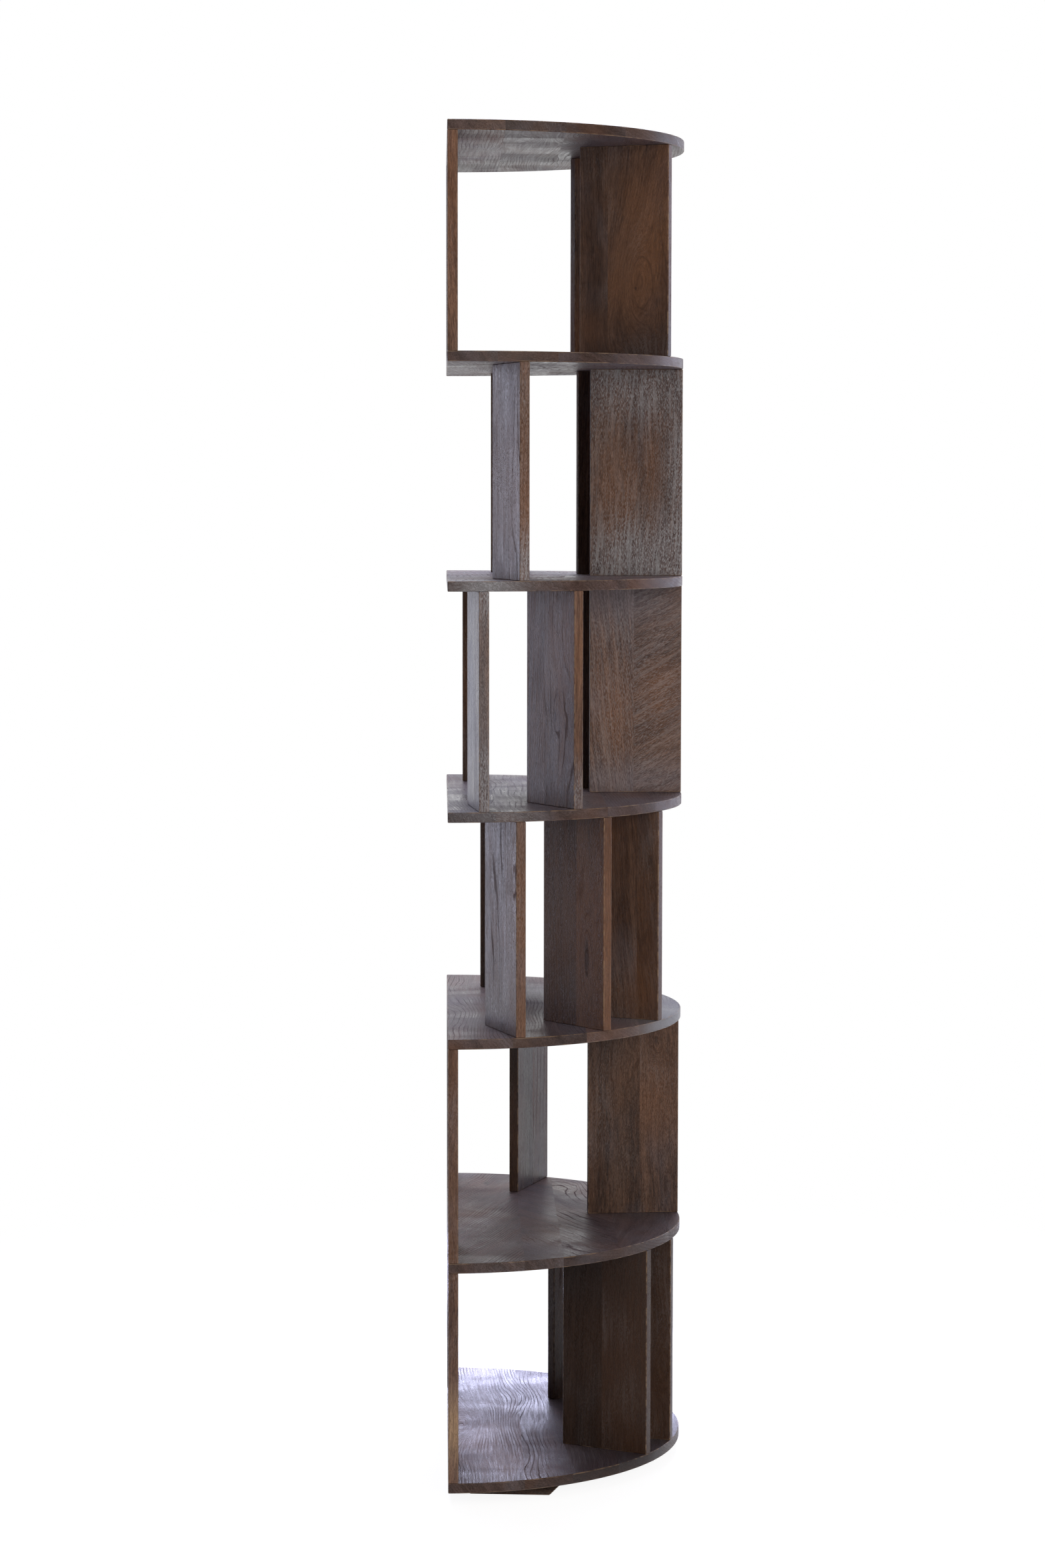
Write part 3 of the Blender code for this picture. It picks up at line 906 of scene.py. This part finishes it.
def cut_seams(shape, axes, seams):
    """Cut the faces along the glue lines, so that each stave has faces of its own."""
    for seam in seams:
        geometry = shape.verts[:] + shape.edges[:] + shape.faces[:]
        point = axes.start + axes.across * seam
        bmesh.ops.bisect_plane(
            shape, geom=geometry, dist=SAME_POINT, plane_co=point, plane_no=axes.across)


SHARP_ANGLE = math.radians(30)


def round_edges(shape, sizes):
    """Sand every sharp edge round."""
    sharp = [edge for edge in shape.edges if edge.calc_face_angle(0) > SHARP_ANGLE]
    bmesh.ops.bevel(
        shape, geom=sharp, offset=sizes.edge_round, offset_type="OFFSET",
        affect="EDGES", segments=sizes.edge_steps, profile=0.5, material=-1,
        clamp_overlap=True)


def new_object(name, shape, material):
    """Turn a bmesh into an object of the scene."""
    mesh = bpy.data.meshes.new(name)
    shape.to_mesh(mesh)
    shape.free()
    mesh.materials.append(material)
    item = bpy.data.objects.new(name, mesh)
    bpy.context.scene.collection.objects.link(item)
    return item


def add_piece(name, shape, material, node):
    """Turn a bmesh into a piece that stands for a solid of the frame."""
    piece = new_object(name, shape, material)
    piece.data.shade_smooth()
    even = piece.modifiers.new("even_shading", "WEIGHTED_NORMAL")
    even.keep_sharp = True
    even.weight = 100
    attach(piece, "root")
    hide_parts(node)


def shelf_names():
    return sorted(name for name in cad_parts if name.startswith("shelf_"))


def upright_names():
    return sorted(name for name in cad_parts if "_upright_" in name)


def runner_names():
    names = [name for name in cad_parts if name.startswith("runner_")]
    return sorted(name for name in names if "screw" not in name)


def screw_names():
    return sorted(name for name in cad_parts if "_screw_" in name)


def board_shape(node, sizes):
    """A half-disc board: a disc cut along the back edge, thickened and sanded."""
    low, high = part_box(node)
    radius = (high.x - low.x) / 2
    middle = Vector(((low.x + high.x) / 2, high.y, low.z))
    shape = bmesh.new()
    bmesh.ops.create_circle(
        shape, cap_ends=True, segments=sizes.rim_steps, radius=radius,
        matrix=Matrix.Translation(middle))
    bmesh.ops.bisect_plane(
        shape, geom=shape.verts[:] + shape.edges[:] + shape.faces[:], dist=SAME_POINT,
        plane_co=middle, plane_no=(0, 1, 0), clear_outer=True)
    raised = bmesh.ops.extrude_face_region(shape, geom=shape.faces[:])["geom"]
    corners = [item for item in raised if isinstance(item, bmesh.types.BMVert)]
    bmesh.ops.translate(shape, verts=corners, vec=UP * (high.z - low.z))
    bmesh.ops.recalc_face_normals(shape, faces=shape.faces)
    round_edges(shape, sizes)
    return shape


# A face stands upright if its normal rises or falls by less than this
NEARLY_LEVEL = 0.1


def broad_direction(node):
    """The direction that a node's broadest upright face looks in."""
    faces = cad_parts[node].data.polygons
    faces = [face for face in faces if abs(face.normal.z) < NEARLY_LEVEL]
    broadest = max(faces, key=lambda face: face.area)
    return broadest.normal.copy()


def outward_direction(node, points):
    """The level direction from an upright's inner end to its outer end."""
    outward = UP.cross(broad_direction(node))
    middle = sum(points, Vector()) / len(points)
    back_middle = Vector((0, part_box("shelf_1")[1].y, middle.z))
    if outward.dot(middle - back_middle) < 0:
        outward = -outward
    return outward


def span(points, direction):
    reach = [point.dot(direction) for point in points]
    return min(reach), max(reach)


def upright_shape(node, floor, ceiling, sizes):
    """An upright between two boards, with the axes of its grain and its length."""
    points = [vertex.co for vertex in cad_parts[node].data.vertices]
    outward = outward_direction(node, points)
    through = outward.cross(UP)
    inner, outer = span(points, outward)
    left, right = span(points, through)
    start = outward * inner + through * (left + right) / 2 + UP * floor
    axes = Axes(start, UP, outward)
    size = Vector((ceiling - floor, outer - inner, right - left))
    centre = Vector((size.x / 2, size.y / 2, 0))
    shape = bmesh.new()
    block = axes.matrix() @ Matrix.Translation(centre) @ Matrix.Diagonal((*size, 1))
    bmesh.ops.create_cube(shape, size=1, matrix=block)
    bmesh.ops.recalc_face_normals(shape, faces=shape.faces)
    round_edges(shape, sizes)
    return shape, axes, size.y


class BOOKCASE_OT_boards(bpy.types.Operator):
    """Model the seven half-disc boards"""

    bl_idname = "bookcase.boards"
    bl_label = "Boards"

    def execute(self, context):
        sizes = context.scene.bookcase_shape
        stain = context.scene.bookcase_stain
        for name in shelf_names():
            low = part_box(name)[0]
            shape = board_shape(name, sizes)
            axes = Axes((0, low.y, low.z), (1, 0, 0), (0, 1, 0))
            seams = BOARD_SEAMS[name]
            cut_seams(shape, axes, seams)
            mark_grain(shape, axes, seams, name, BOARD_SWIRL)
            wood = stained_wood(name + "_wood", stain, board_timber(name, stain), name)
            add_piece(name + "_board", shape, wood, name)
        return {"FINISHED"}


# Where the dice put the seam of an upright, as a share of its length
SEAM_SHARES = (0.35, 0.62)


class BOOKCASE_OT_uprights(bpy.types.Operator):
    """Model the uprights that stand between the boards"""

    bl_idname = "bookcase.uprights"
    bl_label = "Uprights"

    def execute(self, context):
        sizes = context.scene.bookcase_shape
        stain = context.scene.bookcase_stain
        timber = upright_timber(stain.brown, stain.ring_width)
        shared = stained_wood("upright_wood", stain, timber)
        for name in upright_names():
            dice = random.Random(name)
            bay = int(name.split("_")[1])
            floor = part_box(f"shelf_{bay + 1}")[1].z
            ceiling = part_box(f"shelf_{bay}")[0].z
            shape, axes, length = upright_shape(name, floor, ceiling, sizes)
            share = UPRIGHT_SEAMS.get(name, dice.uniform(*SEAM_SHARES))
            seams = (length * share,)
            cut_seams(shape, axes, seams)
            mark_grain(shape, axes, seams, name, UPRIGHT_SWIRL)
            wood = shared
            if name in KNOTS or name in PATCHES_AND_PAINTED_LIGHT:
                ring_width = RING_WIDTHS.get(name, stain.ring_width)
                timber = upright_timber(stain.brown, ring_width, rings=0.7)
                wood = stained_wood(name + "_stain", stain, timber, name)
            add_piece(name + "_wood", shape, wood, name)
        return {"FINISHED"}


class BOOKCASE_OT_runners(bpy.types.Operator):
    """Give the runners under the bottom board their finish"""

    bl_idname = "bookcase.runners"
    bl_label = "Runners"

    def execute(self, context):
        stain = context.scene.bookcase_stain
        timber = upright_timber(stain.red, stain.ring_width, bloom_and_sheen=0.04, shade=0.50)
        wood = stained_wood("runner_wood", stain, timber)
        for name in runner_names():
            shape = bmesh.new()
            shape.from_mesh(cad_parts[name].data)
            bmesh.ops.remove_doubles(shape, verts=shape.verts, dist=SAME_POINT)
            axes = Axes(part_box(name)[0], (1, 0, 0), (0, 1, 0))
            mark_grain(shape, axes, (), name, UPRIGHT_SWIRL)
            add_piece(name + "_wood", shape, wood, name)
        return {"FINISHED"}


# Zinc plating: fine clouds between two greys, and their dullness
ZINC_PACE = (900, 900, 900)
ZINC_DARK = (0.36, 0.35, 0.33, 1)
ZINC_LIGHT = (0.52, 0.51, 0.48, 1)
ZINC_DULLNESS = (-0.4, 2.2)


class BOOKCASE_OT_screws(bpy.types.Operator):
    """Give the screws their zinc plating"""

    bl_idname = "bookcase.screws"
    bl_label = "Screws"

    def execute(self, context):
        recipe = Recipe("zinc_plated_steel")
        cloud = recipe.noise(recipe.stretched(recipe.object_place(), ZINC_PACE), detail=3.0)
        recipe.set_shader({
            "Base Color": recipe.mix(cloud, ZINC_DARK, ZINC_LIGHT),
            "Roughness": recipe.ramp(cloud, *ZINC_DULLNESS),
            "Metallic": 1.0,
        })
        for name in screw_names():
            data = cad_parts[name].data
            data.materials.clear()
            data.materials.append(recipe.material)
        return {"FINISHED"}


class BOOKCASE_OT_stage(bpy.types.Operator):
    """Lay the floor and set up the lights and the camera"""

    bl_idname = "bookcase.stage"
    bl_label = "Stage"

    def execute(self, context):
        studio = context.scene.bookcase_studio
        lay_floor()
        light_room(studio)
        for panels, colour in ((WARM_PANELS, studio.warm), (COOL_PANELS, studio.cool)):
            for name, (place, height, size, power) in panels.items():
                light = add_panel(name + "_panel", place, height, size)
                light.energy = power * studio.panels
                light.color = colour
        hang_flags()
        set_camera()
        context.scene.view_settings.view_transform = "Standard"
        return {"FINISHED"}


def directly_seen(tree):
    """1 for rays that show the surroundings themselves, 0 for rays that only light."""
    path = tree.add("ShaderNodeLightPath").node.outputs
    seen = tree.larger(path["Is Camera Ray"], path["Is Glossy Ray"])
    return tree.larger(seen, path["Is Transmission Ray"])


# The floor, in metres: its size, and from where to where its shadow fades
FLOOR_SIZE = 14.0
SHADOW_REACH = (0.6, 2.0)

# Near the bookcase the floor glows by itself and takes a little light; what
# bounces off it is greyer
FLOOR_GLOW = 0.90
FLOOR_GREY = 0.30
BOUNCE_GREY = 0.45


def lay_floor():
    """A pale floor that stays white to the camera and takes a soft shadow."""
    recipe = Recipe("pale_floor")
    recipe.nodes.remove(recipe.shader)
    glow = recipe.add("ShaderNodeEmission", {"Color": WHITE, "Strength": FLOOR_GLOW})
    white = recipe.add("ShaderNodeEmission", {"Color": WHITE, "Strength": 1.0})
    matt = recipe.add("ShaderNodeBsdfDiffuse", {"Color": grey(BOUNCE_GREY)})
    thin = recipe.add("ShaderNodeBsdfDiffuse", {"Color": grey(FLOOR_GREY)})
    near = recipe.add("ShaderNodeAddShader", {0: glow, 1: thin})
    far = recipe.ramp(recipe.length(recipe.object_place()), *SHADOW_REACH)
    lit = recipe.add("ShaderNodeMixShader", {0: far, 1: near, 2: white})
    mixed = recipe.add("ShaderNodeMixShader", {0: directly_seen(recipe), 1: matt, 2: lit})
    recipe.feed(recipe.nodes["Material Output"].inputs["Surface"], mixed)
    shape = bmesh.new()
    bmesh.ops.create_grid(shape, x_segments=1, y_segments=1, size=FLOOR_SIZE / 2)
    floor = new_object("floor", shape, recipe.material)


# Colour of the soft light from all round
ROOM_COLOUR = (0.95, 0.97, 1.0, 1)


def light_room(studio):
    """White all round to the camera and to reflections, soft grey as light."""
    world = bpy.data.worlds.new("studio")
    bpy.context.scene.world = world
    world.use_nodes = True
    tree = Tree(world.node_tree)
    tree.nodes.remove(tree.nodes["Background"])
    soft = tree.add("ShaderNodeBackground", {"Color": ROOM_COLOUR, "Strength": studio.room})
    white = tree.add("ShaderNodeBackground", {"Color": WHITE, "Strength": 1.0})
    both = tree.add("ShaderNodeMixShader", {0: directly_seen(tree), 1: soft, 2: white})
    tree.feed(tree.nodes["World Output"].inputs["Surface"], both)


def add_panel(name, place, height, size):
    """A soft light panel that looks at the bookcase at one height."""
    light = bpy.data.lights.new(name, "AREA")
    light.shape = "RECTANGLE"
    light.size, light.size_y = size
    item = bpy.data.objects.new(name, light)
    item.location = place
    aim = Vector((0, 0, height)) - Vector(place)
    item.rotation_euler = aim.to_track_quat("-Z", "Y").to_euler()
    item.visible_camera = False
    bpy.context.scene.collection.objects.link(item)
    return light


# Black flags round the camera's side: place, and turn about Z in degrees
FLAGS = {
    "black_flag": ((-6.6, 0.0, 2.2), 0.0),
    "right_black_flag": ((-2.8, -5.0, 2.2), 90.0),
    "left_black_flag": ((-2.8, 5.0, 2.2), 90.0),
}
FLAG_REACH = 4.1


def hang_flags():
    """Black flags keep the near faces deep."""
    recipe = Recipe("black_felt")
    recipe.set_shader({
        "Base Color": grey(0.01), "Roughness": 1.0, "Specular IOR Level": 0.0})
    upright = Matrix.Rotation(math.radians(90), 4, "Y")
    for name, (place, turn) in FLAGS.items():
        turned = Matrix.Rotation(math.radians(turn), 4, "Z")
        hang = Matrix.Translation(place) @ turned @ upright
        shape = bmesh.new()
        bmesh.ops.create_grid(
            shape, x_segments=1, y_segments=1, size=FLAG_REACH, matrix=hang)
        flag = new_object(name, shape, recipe.material)
        flag.visible_camera = False


# The photograph's camera: place in metres, angles in radians, lens and sensor
# in millimetres
CAMERA_PLACE = (-5.6756, 0.1923, 1.486)
CAMERA_PITCH = 0.0797
CAMERA_HEADING = -0.0226
CAMERA_ROLL = -0.0009
CAMERA_LENS = 85.0
CAMERA_SENSOR = 36.0


def set_camera():
    """The photograph's view, along the straight edge and a little down."""
    data = bpy.data.cameras.new("camera")
    data.lens = CAMERA_LENS
    data.sensor_width = CAMERA_SENSOR
    data.sensor_fit = "AUTO"
    camera = bpy.data.objects.new("camera", data)
    camera.rotation_mode = "QUATERNION"
    ahead = Vector((
        math.cos(CAMERA_PITCH) * math.cos(CAMERA_HEADING),
        math.cos(CAMERA_PITCH) * math.sin(CAMERA_HEADING),
        -math.sin(CAMERA_PITCH)))
    right = Vector((math.sin(CAMERA_HEADING), -math.cos(CAMERA_HEADING), 0))
    down = ahead.cross(right)
    rolled_right = right * math.cos(CAMERA_ROLL) + down * math.sin(CAMERA_ROLL)
    rolled_down = down * math.cos(CAMERA_ROLL) - right * math.sin(CAMERA_ROLL)
    turn = Matrix((rolled_right, -rolled_down, -ahead)).transposed()
    camera.rotation_quaternion = turn.to_quaternion()
    camera.location = CAMERA_PLACE
    bpy.context.scene.collection.objects.link(camera)
    bpy.context.scene.camera = camera


class BOOKCASE_PT_panel(bpy.types.Panel):
    """Sizes, colours and steps of the bookcase"""

    bl_label = "Bookcase"
    bl_idname = "BOOKCASE_PT_panel"
    bl_space_type = "VIEW_3D"
    bl_region_type = "UI"
    bl_category = "Bookcase"

    def draw(self, context):
        scene = context.scene
        for group in (scene.bookcase_shape, scene.bookcase_stain, scene.bookcase_studio):
            box = self.layout.box()
            for key in group.__annotations__:
                box.prop(group, key)
        for step in STEPS:
            self.layout.operator(step.bl_idname)


STEPS = (
    BOOKCASE_OT_boards,
    BOOKCASE_OT_uprights,
    BOOKCASE_OT_runners,
    BOOKCASE_OT_screws,
    BOOKCASE_OT_stage,
)
GROUPS = (BookcaseShape, BookcaseStain, BookcaseStudio)
CLASSES = GROUPS + STEPS + (BOOKCASE_PT_panel,)


def register():
    for item in CLASSES:
        bpy.utils.register_class(item)
    bpy.types.Scene.bookcase_shape = PointerProperty(type=BookcaseShape)
    bpy.types.Scene.bookcase_stain = PointerProperty(type=BookcaseStain)
    bpy.types.Scene.bookcase_studio = PointerProperty(type=BookcaseStudio)


def unregister():
    del bpy.types.Scene.bookcase_studio
    del bpy.types.Scene.bookcase_stain
    del bpy.types.Scene.bookcase_shape
    for item in reversed(CLASSES):
        bpy.utils.unregister_class(item)


def main():
    register()
    bpy.ops.bookcase.boards()
    bpy.ops.bookcase.uprights()
    bpy.ops.bookcase.runners()
    bpy.ops.bookcase.screws()
    bpy.ops.bookcase.stage()


if __name__ == "__main__":
    main()
